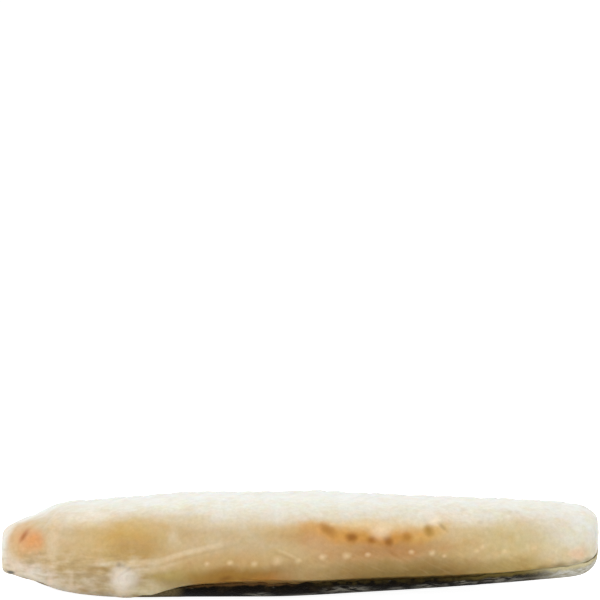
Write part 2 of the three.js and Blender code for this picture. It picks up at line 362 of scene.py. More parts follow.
def store(mesh, name, values):
    """Keeps one number for each point of a mesh, for its material to read."""
    attribute = mesh.attributes.new(name, "FLOAT", "POINT")
    attribute.data.foreach_set("value", values.astype(np.float32))


# The flesh's shape


def refine_trimmed_side(piece):
    """Cuts the faces of the trimmed side once more, where its small marks lie."""
    bpy.ops.object.mode_set(mode="EDIT")
    shape = bmesh.from_edit_mesh(piece.data)
    for face in shape.faces:
        middle = face.calc_center_median() / MM
        among_marks = middle.y < -14 and middle.z > 7 and abs(middle.x) < 112
        face.select_set(among_marks and face.normal.y < -0.4)
    bmesh.update_edit_mesh(piece.data)
    bpy.ops.mesh.subdivide(number_cuts=1, smoothness=0)
    bpy.ops.object.mode_set(mode="OBJECT")


def trimmed_share(points):
    """From 0 on the top, back and underside to 1 on the trimmed side, whose Y changes along the piece."""
    x, y = points[:, 0], points[:, 1]
    numbers, middles = slices(x, 4)
    nearest = np.zeros(len(middles))
    np.minimum.at(nearest, numbers, y)
    filled = nearest < 0
    edge = np.interp(x, middles[filled], nearest[filled])
    return soft_step(y / edge, 0.05, 0.6)


def marks(x, height, places):
    """Soft round spots of height 1 at places given as x, height and radius."""
    total = np.zeros_like(x)
    for place_x, place_height, radius in places:
        total += bump(np.hypot(x - place_x, height - place_height), radius)
    return total


def seam_reach(x):
    """From 0 to 1 where the seam shows, at places along the piece."""
    return soft_step(x, -76, -66) * (1 - soft_step(x, -36, -22))


def on_trimmed_side(y):
    """From 0 at the middle of the piece to 1 on its trimmed side."""
    return 1 - soft_step(y, -20, -12)


def side_relief(points):
    """What stands out from or lies in from the trimmed side."""
    x = points[:, 0]
    height = side_height(points)
    under_seam = seam_height(x) - height
    ridge = RIDGE_RISE * bump(under_seam, 1.6)
    cleft = CLEFT_DEPTH * bump(under_seam - CLEFT_BELOW, 0.9)
    seam = (ridge - cleft) * seam_reach(x)
    dots = DOT_RISE * marks(x, height, FAT_DOTS_AND_GLINTS)
    pits = -PIT_DEPTH * marks(x, height, [(spot[0], spot[1], 1.4) for spot in PIN_BONES])
    crevices = -CREVICE_DEPTH * marks(x, height, CREVICES)
    nicks = -NICK_DEPTH * marks(x, height, NICKS)
    lump_form = bump(np.hypot((x - LUMP[0]) / 1.3, height - LUMP[1]), 3.6)
    lump = LUMP_RISE * lump_form * (0.6 + 0.7 * grain(points, (2.5, 2.5, 2.5), 7))
    slant = math.radians(FIBRE_SLANT)
    along = x * math.cos(slant) - height * math.sin(slant)
    across = x * math.sin(slant) + height * math.cos(slant)
    slanted = grain(np.column_stack((along, across, points[:, 1])), (7, 0.9, 6), 3)
    fibres = SIDE_FIBRE_RISE * slanted * soft_step(x, -12, 8) * (1 - soft_step(height, 20, 30))
    return seam + dots + pits + crevices + nicks + lump + fibres


def blunt_ends(points):
    """The same points, with those past the blunt faces of the two ends pressed back to them."""
    from_middle = points[:, 0] - END_MIDDLE
    past = np.abs(from_middle) - END_REACH - END_TURN * points[:, 1]
    pressed = END_PRESS * END_SOFTNESS * np.log1p(np.exp(np.clip(past / END_SOFTNESS, -40, 40)))
    result = points.copy()
    result[:, 0] -= np.sign(from_middle) * pressed
    return result


def distance_to_skin(points):
    """How far each point of the flesh lies from the skin."""
    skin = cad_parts["skin"].data
    tree = BVHTree.FromPolygons([v.co for v in skin.vertices], [tuple(p.vertices) for p in skin.polygons])
    return np.array([tree.find_nearest(Vector(p) * MM)[3] for p in points.tolist()]) / MM


def soften_tail_fold(piece, points, to_skin):
    """Evens out the fold over the lip at the tail end."""
    x, y, z = points.T
    at_lip = soft_step(x, 108, 116) * soft_step(to_skin, 0.6, 2.2)
    relax(piece, TAIL_FOLD_ROUNDS, at_lip * soft_step(y, -30, -16) * (1 - soft_step(z, 21, 28)))


def shape_flesh(piece, settings):
    """Gives the flesh its relief and blunt ends. It stays still where the skin covers it."""
    points, normals = read_points(piece.data)
    to_skin = distance_to_skin(points)
    bare = soft_step(to_skin, 0.7, 3.5)

    y, z = points[:, 1], points[:, 2]
    trimmed = 1 - soft_step(y, -30, -16)
    unevenness = settings.unevenness / MM
    swells = unevenness * (grain(points, (15, 11, 11)) + 0.5 * grain(points, (5, 4, 4), 5))
    number = flake_number(points)
    part = number - np.floor(number)
    slope = part - 0.5
    drop = soft_step(part, 0.86, 1.0) * slope
    steps = settings.flake_step / MM * (slope - drop) * (1 - 0.9 * trimmed)
    flow = np.column_stack((number * FLAKE_PITCH, y, z))
    fibres = TOP_FIBRE_RISE * grain(flow, (7, 0.9, 0.9), 20) * (1 - trimmed)
    fine = GRAIN_RISE * grain(points, (1.6, 1.4, 1.4), 30)
    push = swells + steps + fibres + fine + on_trimmed_side(y) * side_relief(points)
    write_points(piece.data, blunt_ends(points + normals * (push * bare)[:, None]))
    store(piece.data, "to_skin", to_skin)
    soften_tail_fold(piece, points, to_skin)


def store_flesh_patterns(piece):
    """Keeps on the mesh what the flesh's material reads: its flakes, its trimmed side and its seam."""
    points, _ = read_points(piece.data)
    x, height = points[:, 0], side_height(points)
    store(piece.data, "flake", flake_number(points))
    store(piece.data, "trimmed", trimmed_share(points))
    store(piece.data, "under_seam", seam_height(x) - height)
    store(piece.data, "seam_reach", seam_reach(x) * on_trimmed_side(points[:, 1]))


# The skin's shape


def below_near_edge(points):
    """How far points lie under the skin's edge on the trimmed side, or a long way on the other side."""
    x, y, z = points.T
    near = y < -15
    numbers, middles = slices(x, 2)
    highest = np.full(len(middles), -1.0)
    np.maximum.at(highest, numbers[near], z[near])
    filled = highest > 0
    return np.where(near, np.interp(x, middles[filled], highest[filled]) - z, 99.0)


def shape_skin(piece, settings):
    """Makes the skin's cut edges wavy, draws its near edge up by the tail and blunts its ends."""
    points, _ = read_points(piece.data)
    x, y, z = points.T
    along = np.column_stack((x, x * 0, x * 0))
    wave = grain(along, (4.5, 1, 1)) + 0.6 * grain(along, (1.8, 1, 1), 4)
    near = (1 - soft_step(y, -30, -20)) * soft_step(z, 3, 9)
    far = soft_step(y, 24, 34) * soft_step(z, 6, 14)
    points[:, 2] += settings.edge_wave / MM * wave * (near + far)
    points[:, 2] += TAIL_EDGE_LIFT * near * soft_step(x, 62, 88)
    store(piece.data, "below_edge", below_near_edge(points))
    write_points(piece.data, blunt_ends(points))


# Materials


class Nodes:
    """Adds nodes to a tree. An input takes a number, a tuple or the output of another node."""

    def __init__(self, tree):
        self.tree = tree

    def add(self, kind, settings=None, **inputs):
        """A new node with its settings and its inputs, which are named with _ for a space."""
        node = self.tree.nodes.new(kind)
        for name, value in (settings or {}).items():
            setattr(node, name, value)
        for name, value in inputs.items():
            self.fill(node.inputs[name.replace("_", " ")], value)
        return node

    def fill(self, socket, value):
        if isinstance(value, bpy.types.NodeSocket):
            self.tree.links.new(value, socket)
        else:
            socket.default_value = value

    def math(self, operation, *values):
        node = self.add("ShaderNodeMath", {"operation": operation})
        for socket, value in zip(node.inputs, values):
            self.fill(socket, value)
        return node.outputs[0]

    def plus(self, one, other):
        return self.math("ADD", one, other)

    def minus(self, one, other):
        return self.math("SUBTRACT", one, other)

    def times(self, one, other):
        return self.math("MULTIPLY", one, other)

    def vector(self, operation, *values):
        node = self.add("ShaderNodeVectorMath", {"operation": operation})
        for socket, value in zip(node.inputs, values):
            self.fill(socket, value)
        return node.outputs["Value" if operation == "LENGTH" else "Vector"]

    def scaled(self, vector, by):
        node = self.add("ShaderNodeVectorMath", {"operation": "SCALE"}, Scale=by)
        self.fill(node.inputs[0], vector)
        return node.outputs["Vector"]

    def split(self, vector):
        return self.add("ShaderNodeSeparateXYZ", Vector=vector).outputs

    def join(self, x, y, z):
        return self.add("ShaderNodeCombineXYZ", X=x, Y=y, Z=z).outputs[0]

    def place(self):
        """Each point's place on its piece, in millimetres."""
        return self.scaled(self.add("ShaderNodeTexCoord").outputs["Object"], 1 / MM)

    def attribute(self, name):
        """The number that the mesh keeps under this name."""
        return self.add("ShaderNodeAttribute", {"attribute_name": name}).outputs["Fac"]

    def step(self, value, low, high, start=0.0, end=1.0):
        """From start at low to end at high, without a corner. A low above high turns it round."""
        node = self.add("ShaderNodeMapRange", {"interpolation_type": "SMOOTHSTEP"})
        names = ("Value", "From Min", "From Max", "To Min", "To Max")
        for name, number in zip(names, (value, low, high, start, end)):
            self.fill(node.inputs[name], number)
        return node.outputs[0]

    def noise(self, vector, scale, detail=2.0, roughness=0.5):
        """Smooth noise, first as a number and then as a colour."""
        node = self.add("ShaderNodeTexNoise", Vector=vector, Scale=scale, Detail=detail, Roughness=roughness)
        return node.outputs

    def blend(self, amount, under, over, way="MIX"):
        node = self.add("ShaderNodeMix", {"data_type": "RGBA", "blend_type": way})
        for number, value in ((0, amount), (6, under), (7, over)):
            if isinstance(value, tuple) and len(value) == 3:
                value = (*value, 1)
            self.fill(node.inputs[number], value)
        return node.outputs[2]

    def ramp(self, value, stops):
        node = self.add("ShaderNodeValToRGB", Fac=value)
        band = node.color_ramp.elements
        while len(band) < len(stops):
            band.new(0.5)
        for element, (place, colour) in zip(band, stops):
            element.position = place
            element.color = (*colour, 1)
        return node.outputs[0]

    def dent(self, height):
        """Relief too fine for the mesh, from a height in millimetres."""
        return self.add("ShaderNodeBump", Strength=0.8, Distance=MM, Height=height).outputs[0]


def new_material(name):
    """An empty node material with its shader and output."""
    material = bpy.data.materials.new(name)
    material.use_nodes = True
    nodes = Nodes(material.node_tree)
    shader = material.node_tree.nodes["Principled BSDF"]
    return material, nodes, shader


def soft_zone_group():
    """A node group: how far a place lies inside a soft-edged ellipse, from 0 outside to 1."""
    group = bpy.data.node_groups.new("Soft zone", "ShaderNodeTree")
    face = group.interface
    for name, kind in (
        ("Place", "NodeSocketVector"), ("Middle", "NodeSocketVector"), ("Half size", "NodeSocketVector"),
        ("Turn", "NodeSocketFloat"), ("Edge", "NodeSocketFloat"),
    ):
        face.new_socket(name, in_out="INPUT", socket_type=kind)
    face.new_socket("Amount", in_out="OUTPUT", socket_type="NodeSocketFloat")
    nodes = Nodes(group)
    given = nodes.add("NodeGroupInput").outputs
    away = nodes.vector("SUBTRACT", given["Place"], given["Middle"])
    about_z = {"rotation_type": "Z_AXIS"}
    turned = nodes.add("ShaderNodeVectorRotate", about_z, Vector=away, Angle=given["Turn"])
    reach = nodes.vector("LENGTH", nodes.vector("DIVIDE", turned.outputs[0], given["Half size"]))
    low = nodes.minus(1.0, given["Edge"])
    high = nodes.plus(1.0, given["Edge"])
    nodes.add("NodeGroupOutput", Amount=nodes.minus(1.0, nodes.step(reach, low, high)))
    return group


def zone(nodes, group, place, x, height, half_length, half_height, turn=0.0, edge=0.6):
    """How far a place on the trimmed side lies inside a soft ellipse round x and height."""
    angle = -math.radians(turn)
    node = nodes.add("ShaderNodeGroup", {"node_tree": group}, Place=place, Turn=angle, Edge=edge)
    node.inputs["Middle"].default_value = (x, height, 0)
    node.inputs["Half size"].default_value = (half_length, half_height, 1)
    return node.outputs[0]


def paint(nodes, group, place, under, patches):
    """Puts soft patches of colour, one over the other, on the colour under them."""
    for x, height, half_length, half_height, turn, edge, strength, colour in patches:
        amount = zone(nodes, group, place, x, height, half_length, half_height, turn, edge)
        under = nodes.blend(nodes.times(amount, strength), under, colour)
    return under


# Colours of the trimmed side from the skin up to the shoulder, as shares of SIDE_TOP: the flesh's own browner
# tone near the skin, darkened further towards the bottom with painted shade
SIDE_TOP = 47.0
SHADED_SIDE_BANDS = (
    (0.2, srgb(132, 100, 52)),
    (0.27, srgb(156, 124, 70)),
    (0.34, srgb(186, 159, 110)),
    (0.42, srgb(202, 177, 134)),
    (0.52, srgb(203, 184, 147)),
    (0.62, srgb(207, 189, 156)),
    (0.69, srgb(218, 204, 177)),
    (0.76, srgb(223, 216, 202)),
    (0.84, srgb(228, 227, 216)),
    (0.93, srgb(235, 236, 231)),
)

# The white lump, as a patch: x, height, half length, half height, turn, edge, strength, colour
WHITE_LUMP = (*LUMP, 5.2, 4.6, 10, 0.6, 0.9, srgb(222, 214, 201))

# Soft patches of colour on the trimmed side, given in the same way
PATCHES = (
    # the glassy tail, and the yellow muscle before it
    (86, 24, 22, 8, 0, 0.8, 0.7, srgb(214, 201, 156)),
    (62, 24.5, 16, 7, 0, 0.8, 0.5, srgb(208, 180, 128)),
    (98, 17.5, 20, 3, 4, 0.7, 0.8, srgb(194, 168, 104)),
    (118, 31, 17, 22, 0, 0.8, 0.9, srgb(231, 232, 227)),
    (104, 20.8, 13, 3.4, 4, 0.8, 0.6, srgb(222, 204, 166)),
    (109.4, 21.4, 3.4, 1.7, 0, 0.9, 0.5, srgb(234, 192, 156)),
    # the collar end; its first patch, pale low down on the underside, is painted light bounced up from the
    # table
    (-86, 4, 36, 8, 0, 0.5, 0.9, srgb(204, 190, 166)),
    (-108, 22, 20, 16, 0, 0.7, 0.7, srgb(204, 182, 146)),
    (-114, 22, 4, 9, 0, 0.8, 0.6, srgb(212, 182, 136)),
    (-121, 28, 3.0, 17, 0, 0.8, 0.85, srgb(234, 232, 226)),
    (-104, 10.8, 13, 4, -20, 0.8, 0.85, srgb(230, 225, 218)),
    (-80, 9, 22, 4, -4, 0.8, 0.5, srgb(190, 172, 142)),
    # golden muscle behind the collar
    (-70, 27.0, 17, 7.2, 8, 0.8, 0.95, srgb(205, 173, 108)),
    (-65, 23, 10, 4.4, 0, 0.8, 0.85, srgb(186, 154, 94)),
    (-46, 30, 9, 6, 0, 0.9, 0.4, srgb(206, 184, 144)),
    (-46, 28.6, 4.5, 2.4, 0, 0.9, 0.45, srgb(192, 166, 120)),
    (-50.5, 28, 1.6, 2.6, 0, 1.0, 0.5, srgb(220, 203, 172)),
    (-88, 35, 9, 3.6, 0, 0.9, 0.6, srgb(230, 222, 206)),
    (-92, 23, 10, 5, 0, 0.8, 0.5, srgb(206, 186, 144)),
    (-82, 16, 14, 4, 0, 0.8, 0.5, srgb(202, 180, 136)),
    # blood at the collar, and the pale band behind it
    (-109.6, 26.0, 6.0, 4.4, -15, 1.0, 0.85, srgb(219, 172, 122)),
    (-106.2, 26.4, 3.4, 3.0, 0, 1.0, 0.75, srgb(222, 158, 98)),
    (-98.3, 28, 2.0, 12, 0, 0.9, 0.4, srgb(226, 210, 182)),
    # the lobe under the seam
    (-58, 15.2, 9, 2.2, 12, 0.7, 0.7, srgb(218, 203, 174)),
    (-50, 12.0, 11, 3.2, 4, 0.7, 0.9, srgb(184, 164, 104)),
    (-58, 6.5, 13, 2.8, 0, 0.7, 0.8, srgb(206, 196, 162)),
    (-50, 8.8, 6, 2.2, 0, 0.8, 0.7, srgb(156, 134, 84)),
    (-28, 17.6, 20, 2.8, 4, 0.9, 0.6, srgb(204, 174, 120)),
    (-27, 11.4, 16, 2.8, 0, 0.8, 0.9, srgb(160, 120, 46)),
    (-12, 10.8, 8, 2.0, 0, 0.8, 0.8, srgb(172, 122, 54)),
    # darker along the skin towards the tail: the flesh's browner tone with painted shade low on the side
    (5, 12.4, 12, 4.0, 0, 0.8, 0.75, srgb(186, 162, 116)),
    (42, 14.2, 27, 4.4, 3, 0.7, 0.85, srgb(158, 130, 76)),
    (44, 12.2, 26, 2.0, 3, 0.8, 0.7, srgb(128, 106, 54)),
    (82, 15.4, 15, 2.6, 3, 0.8, 0.6, srgb(170, 148, 90)),
    # the orange band along the pin bones, between an apricot edge and a rosy one
    (28, 30.8, 27, 2.7, 0, 0.9, 0.7, srgb(231, 204, 156)),
    (62, 35.5, 14, 3.2, 0, 0.9, 0.5, srgb(233, 228, 216)),
    (1, 28.6, 6, 3.7, 0, 0.9, 0.6, srgb(202, 158, 96)),
    (-4, 28.2, 9, 4.0, -4, 0.8, 0.7, srgb(200, 166, 108)),
    (12, 28.4, 10, 3.4, -14, 0.8, 0.9, srgb(210, 160, 86)),
    (24, 26.8, 10, 3.0, -8, 0.8, 0.9, srgb(207, 153, 70)),
    (38, 26.8, 10, 3.0, 8, 0.8, 0.9, srgb(208, 152, 68)),
    (50, 28.8, 7, 3.0, 20, 0.8, 0.85, srgb(214, 172, 100)),
    (34, 21.8, 22, 3.4, 4, 0.8, 0.75, srgb(183, 133, 74)),
    (7, 24.3, 10, 3.2, -6, 0.8, 0.6, srgb(198, 152, 100)),
)

# Places on the skin with grey flecks painted as glints, where the wet skin reflects the light: x, height,
# half length, half height
GREY_GLINT_PLACES = ((19, 5.0, 9, 2.0), (-17, 3.0, 5, 1.4), (50, 6.0, 5, 1.5), (80, 8.5, 7, 1.6), (64, 8.0, 3, 1.0))

# Fine strokes, some of them painted highlights on the wet flesh: x, height, half length, half height, turn,
# edge, strength, colour
STROKES = (
    (-111.2, 28.0, 2.6, 1.0, 58, 0.9, 0.75, srgb(172, 100, 52)),
    (-4.9, 20.6, 4.2, 0.5, -25, 0.9, 0.35, srgb(226, 204, 164)),
    (-6.5, 19.8, 3.5, 0.5, -25, 0.9, 0.3, srgb(172, 142, 94)),
    (36.2, 20.8, 2.4, 0.6, -35, 0.9, 0.4, srgb(160, 116, 66)),
    # the next three are painted highlights, where the wet flesh catches the light
    (31.4, 29.6, 3.2, 2.4, 0, 1.0, 0.7, srgb(238, 218, 188)),
    (53.3, 33.7, 1.8, 1.3, 0, 1.0, 0.7, srgb(244, 228, 204)),
    (-82.7, 36.5, 5.0, 1.2, -12, 1.0, 0.35, srgb(240, 234, 224)),
    (-77, 16.8, 5.5, 0.8, 6, 1.0, 0.5, srgb(228, 214, 190)),
    (-78, 14.8, 4.5, 0.9, 4, 1.0, 0.35, srgb(160, 130, 84)),
    (-91.2, 9.5, 0.8, 2.4, -8, 1.0, 0.45, srgb(228, 212, 184)),
    (-100, 9.8, 1.0, 1.5, 0, 1.0, 0.5, srgb(236, 214, 190)),
    (-86, 12.5, 3.5, 0.8, 0, 1.0, 0.35, srgb(150, 124, 80)),
    (-29.6, 11.0, 2.4, 0.9, 8, 1.0, 0.6, srgb(122, 78, 18)),
    (-22.0, 10.4, 1.6, 0.8, 0, 1.0, 0.4, srgb(112, 76, 28)),
    (-117.2, 13.0, 1.8, 0.7, 0, 0.6, 0.9, srgb(60, 58, 50)),
    (88.0, 13.6, 5.0, 1.0, 4, 1.0, 0.4, srgb(112, 94, 46)),
    (96.0, 14.8, 3.6, 1.1, 6, 1.0, 0.55, srgb(116, 98, 46)),
    (103.0, 16.0, 2.6, 1.1, 8, 1.0, 0.65, srgb(112, 94, 42)),
    (109.0, 17.0, 2.2, 1.0, 10, 1.0, 0.5, srgb(118, 100, 50)),
    (114.0, 18.2, 2.0, 0.9, 18, 1.0, 0.5, srgb(124, 106, 58)),
)


def small_marks():
    """The patches that colour the pin-bone spots, the fat dots with their painted glints, and the pits and
    nicks, darkened with painted shade.
    """
    for x, height, half_length, half_height, turn, colour in PIN_BONES:
        yield x, height, 1.25 * half_length, 1.25 * half_height, turn, 0.8, 0.8, srgb(*colour)
    for places, strength, colour in (
        # the pale dots: pale tissue with painted glints of light
        (FAT_DOTS_AND_GLINTS, 0.58, srgb(234, 210, 168)),
        # the pits and nicks: painted shade in the recesses
        (CREVICES, 0.7, srgb(142, 112, 72)),
        (NICKS, 0.2, srgb(186, 166, 130)),
    ):
        for x, height, radius in places:
            yield x, height, 1.5 * radius, 1.2 * radius, 10, 1.0, strength, colour


def seen_height(nodes, y, z):
    """The height at which a place shows on the plane of the trimmed side."""
    return nodes.plus(z, nodes.times(nodes.minus(y, SIDE_PLANE), VIEW_SLOPE))


def wandering_places(nodes, place, x, height):
    """Places on the plane of the trimmed side, moved about widely and closely, for ragged patches."""
    flat = nodes.join(x, height, 0.0)
    slow = nodes.noise(place, 0.07, 2.0)[1]
    quick = nodes.noise(place, 0.3, 2.0)[1]
    drift = nodes.scaled(nodes.vector("SUBTRACT", slow, (0.5, 0.5, 0.5)), 5.5)
    ruffle = nodes.scaled(nodes.vector("SUBTRACT", quick, (0.5, 0.5, 0.5)), 1.1)
    wide = nodes.vector("ADD", nodes.vector("ADD", flat, drift), ruffle)
    close = nodes.vector("ADD", flat, nodes.scaled(ruffle, 0.5))
    return nodes.vector("MULTIPLY", wide, (1, 1, 0)), nodes.vector("MULTIPLY", close, (1, 1, 0))


def muscle_colour(nodes, group, place, wide):
    """Bands and patches of the trimmed side, the bands darker towards the skin with painted shade, with tints
    that come and go, yellow and rosy.
    """
    side = nodes.ramp(nodes.math("DIVIDE", nodes.split(wide)[1], SIDE_TOP), SHADED_SIDE_BANDS)
    side = paint(nodes, group, wide, side, PATCHES)
    yellow = nodes.step(nodes.noise(place, 0.16, 3.0)[0], 0.4, 0.7)
    shifted = nodes.vector("ADD", place, (40, 0, 0))
    rosy = nodes.step(nodes.noise(shifted, 0.18, 3.0)[0], 0.42, 0.7)
    side = nodes.blend(yellow, side, (0.98, 0.96, 0.86), "MULTIPLY")
    return nodes.blend(rosy, side, (1.0, 0.94, 0.9), "MULTIPLY")


def add_streaks(nodes, side, x, height, close):
    """Fibres, as faint slanted streaks low on the tail half."""
    slant = math.radians(FIBRE_SLANT)
    slanted = nodes.add("ShaderNodeVectorRotate", {"rotation_type": "Z_AXIS"}, Vector=close, Angle=slant)
    streak = nodes.noise(nodes.vector("MULTIPLY", slanted.outputs[0], (0.14, 0.8, 1)), 1.0, 1.0)[0]
    low = nodes.times(nodes.times(nodes.step(x, -15, 10), nodes.step(height, 26, 18)), 0.1)
    side = nodes.blend(nodes.times(nodes.step(streak, 0.45, 0.75), low), side, srgb(150, 114, 62))
    return nodes.blend(nodes.times(nodes.step(streak, 0.5, 0.25), low), side, srgb(216, 190, 144))


def add_flecks(nodes, side, x, height, close):
    """Flecks low down behind the collar, olive and pale, drawn out along the fibres."""
    fleck = nodes.noise(nodes.vector("MULTIPLY", close, (0.16, 0.42, 1)), 1.0, 2.0)[0]
    flecked = nodes.times(nodes.step(x, -52, -66), nodes.step(height, 26, 16))
    olive = nodes.times(nodes.step(fleck, 0.42, 0.8), flecked)
    pale = nodes.times(nodes.step(fleck, 0.55, 0.2), flecked)
    side = nodes.blend(nodes.times(olive, 0.65), side, srgb(164, 138, 88))
    return nodes.blend(nodes.times(pale, 0.5), side, srgb(226, 212, 188))


def add_seam_highlight_and_shadow(nodes, side):
    """The seam's ridge with a painted highlight, and the cleft under it with painted shadow, where the upper
    lobe overlaps the lower.
    """
    under = nodes.attribute("under_seam")
    reach = nodes.attribute("seam_reach")
    ridge = nodes.times(nodes.step(nodes.math("ABSOLUTE", under), 1.6, 0.3), reach)
    from_cleft = nodes.math("ABSOLUTE", nodes.minus(under, CLEFT_BELOW))
    cleft = nodes.times(nodes.step(from_cleft, 0.9, 0.1), reach)
    side = nodes.blend(nodes.times(ridge, 0.4), side, srgb(224, 206, 174))
    return nodes.blend(nodes.times(cleft, 0.2), side, srgb(176, 150, 104))


def add_rim(nodes, side, place, x):
    """A dark rim on the flesh where the skin begins."""
    ragged = nodes.plus(nodes.attribute("to_skin"), nodes.times(nodes.noise(place, 0.4, 3.0)[0], 2.4))
    rim = nodes.times(nodes.step(ragged, 2.8, 1.4), nodes.step(x, -54, -44))
    rim_colour = nodes.blend(nodes.step(x, -4, 8), srgb(172, 132, 78), srgb(78, 60, 26))
    rim_colour = nodes.blend(nodes.step(x, 55, 85), rim_colour, srgb(132, 114, 62))
    return nodes.blend(nodes.times(rim, 0.75), side, rim_colour)


def side_colour(nodes, place):
    """The trimmed side's colour, from its bands and patches to its finest strokes, with painted shade low
    down and in the seam's cleft, and painted highlights.
    """
    x, y, z = nodes.split(place)
    group = soft_zone_group()
    height = seen_height(nodes, y, z)
    wide, close = wandering_places(nodes, place, x, height)
    side = muscle_colour(nodes, group, place, wide)
    side = add_streaks(nodes, side, x, height, close)
    side = add_flecks(nodes, side, x, height, close)
    side = paint(nodes, group, close, side, small_marks())
    side = paint(nodes, group, close, side, STROKES)
    side = paint(nodes, group, wide, side, (WHITE_LUMP,))
    side = add_seam_highlight_and_shadow(nodes, side)
    return add_rim(nodes, side, place, x)


def pale_colour(nodes, settings, place, line):
    """The pale flesh of the top, ends and back, with a fine tint on the flake lines."""
    _, y, z = nodes.split(place)
    veil = nodes.noise(place, 0.09, 3.0)[0]
    pale = nodes.blend(nodes.step(veil, 0.35, 0.65), settings.top_colour[:], srgb(222, 219, 207))
    pale = nodes.blend(nodes.times(line, 0.16), pale, srgb(214, 211, 199))
    back = nodes.blend(nodes.step(z, 16, 30), srgb(210, 193, 162), pale)
    return nodes.blend(nodes.step(y, 14, 30), pale, back)


def flesh_dent(nodes, place, number, line):
    """The finest relief of the flesh: sunken flake lines, fibres along the flakes and a soft grain."""
    _, y, z = nodes.split(place)
    flow = nodes.join(nodes.times(number, FLAKE_PITCH), y, z)
    fibre = nodes.noise(nodes.vector("MULTIPLY", flow, (0.14, 1.3, 1.3)), 1.0, 3.0)[0]
    fine = nodes.noise(place, 1.8, 3.0)[0]
    relief = nodes.plus(nodes.times(line, -0.08), nodes.times(fibre, 0.045))
    return nodes.dent(nodes.plus(relief, nodes.times(fine, 0.03)))


def flesh_material(settings):
    """Wet, glassy flesh with fibres and flake lines."""
    material, nodes, shader = new_material("wet cod flesh")
    place = nodes.place()
    wander = nodes.noise(place, 0.25, 2.0)[0]
    number = nodes.plus(nodes.attribute("flake"), nodes.times(nodes.minus(wander, 0.5), 0.14))
    toward_line = nodes.math("ABSOLUTE", nodes.minus(nodes.math("FRACT", nodes.plus(number, 0.5)), 0.5))
    side_share = nodes.attribute("trimmed")
    line = nodes.times(nodes.step(toward_line, 0.075, 0.02), nodes.minus(1.0, side_share))
    colour = nodes.blend(side_share, pale_colour(nodes, settings, place, line), side_colour(nodes, place))
    mottle = nodes.ramp(nodes.noise(place, 0.5, 4.0, 0.7)[0], ((0.3, (0.72, 0.71, 0.66)), (0.7, (1, 1, 1))))
    colour = nodes.blend(nodes.step(side_share, 0.0, 1.0, 0.12, 0.48), colour, mottle, "MULTIPLY")
    dent = flesh_dent(nodes, place, number, line)

    nodes.fill(shader.inputs["Base Color"], colour)
    nodes.fill(shader.inputs["Roughness"], nodes.step(nodes.noise(place, 0.2, 3.0)[0], 0.3, 0.7, 0.28, 0.5))
    nodes.fill(shader.inputs["Normal"], dent)
    nodes.fill(shader.inputs["Coat Normal"], dent)
    shader.inputs["IOR"].default_value = 1.4
    shader.inputs["Specular IOR Level"].default_value = 0.2
    shader.inputs["Subsurface Weight"].default_value = 0.8
    shader.inputs["Subsurface Radius"].default_value = (1.0, 0.6, 0.36)
    shader.inputs["Subsurface Scale"].default_value = 2.2 * MM
    shader.inputs["Coat Weight"].default_value = 0.15
    shader.inputs["Coat Roughness"].default_value = 0.12
    shader.inputs["Coat IOR"].default_value = 1.34
    return material


class SkinPatterns:
    """What the skin's colours share: places on it, and its scales and mottling."""

    def __init__(self, nodes, settings):
        self.place = nodes.place()
        self.x, self.y, self.z = nodes.split(self.place)
        self.near = nodes.step(self.y, 0, -20)
        fineness = MM / settings.scale_size
        edges = {"feature": "DISTANCE_TO_EDGE"}
        scales = nodes.add("ShaderNodeTexVoronoi", edges, Vector=self.place, Scale=fineness)
        self.in_scale = nodes.step(scales.outputs[0], 0.0, 0.2)
        self.blotch = nodes.noise(self.place, 0.16, 4.0, 0.6)[0]
        drawn_out = nodes.vector("MULTIPLY", self.place, (0.5, 1, 1.6))
        self.fleck = nodes.noise(drawn_out, 0.6, 4.0, 0.6)[0]
        self.spots = nodes.noise(self.place, 0.34, 3.0, 0.6)[0]


def skin_ground(nodes, skin, settings):
    """Dark olive on the near side, and the paler mottled back of the fish."""
    olive = nodes.blend(nodes.step(skin.blotch, 0.5, 0.7), settings.dark_colour[:], srgb(38, 29, 14))
    near = nodes.blend(nodes.step(skin.fleck, 0.62, 0.76), olive, srgb(82, 78, 68))
    back = nodes.blend(nodes.step(skin.blotch, 0.4, 0.62), srgb(50, 43, 25), srgb(92, 81, 50))
    back = nodes.blend(nodes.step(skin.spots, 0.5, 0.62), back, srgb(118, 106, 70))
    return nodes.blend(nodes.step(skin.y, 8, 28), near, back)


def add_head_end(nodes, skin, tinted):
    """Browner and paler towards the head end, with a small dark spot at the tip."""
    x, near = skin.x, skin.near
    tinted = nodes.blend(nodes.times(nodes.step(x, -45, -51), near), tinted, srgb(112, 98, 64))
    tinted = nodes.blend(nodes.times(nodes.step(x, -64, -74), near), tinted, srgb(160, 144, 112))
    tinted = nodes.blend(nodes.step(x, -116.5, -119.5), tinted, srgb(216, 208, 190))
    from_spot = nodes.math("ABSOLUTE", nodes.minus(x, TIP_SPOT_X))
    return nodes.blend(nodes.times(nodes.step(from_spot, 2.4, 1.2), near), tinted, srgb(50, 48, 40))


def add_silver(nodes, skin, tinted):
    """Silver by the tail end, and the dark lines between the scales, which fade in the silver."""
    across = nodes.plus(skin.y, nodes.times(nodes.noise(skin.place, 0.1, 3.0)[0], 34))
    reach = nodes.times(nodes.step(skin.x, 84, 102), nodes.step(across, 42, 4))
    silver = nodes.blend(nodes.step(skin.fleck, 0.35, 0.6), srgb(168, 160, 136), srgb(206, 204, 194))
    silver = nodes.blend(nodes.step(skin.x, 92, 106), srgb(112, 104, 82), silver)
    tinted = nodes.blend(reach, tinted, silver)
    lines = nodes.times(nodes.minus(1.0, skin.in_scale), nodes.step(reach, 0.0, 1.0, 0.35, 0.08))
    return nodes.blend(lines, tinted, srgb(24, 18, 10))


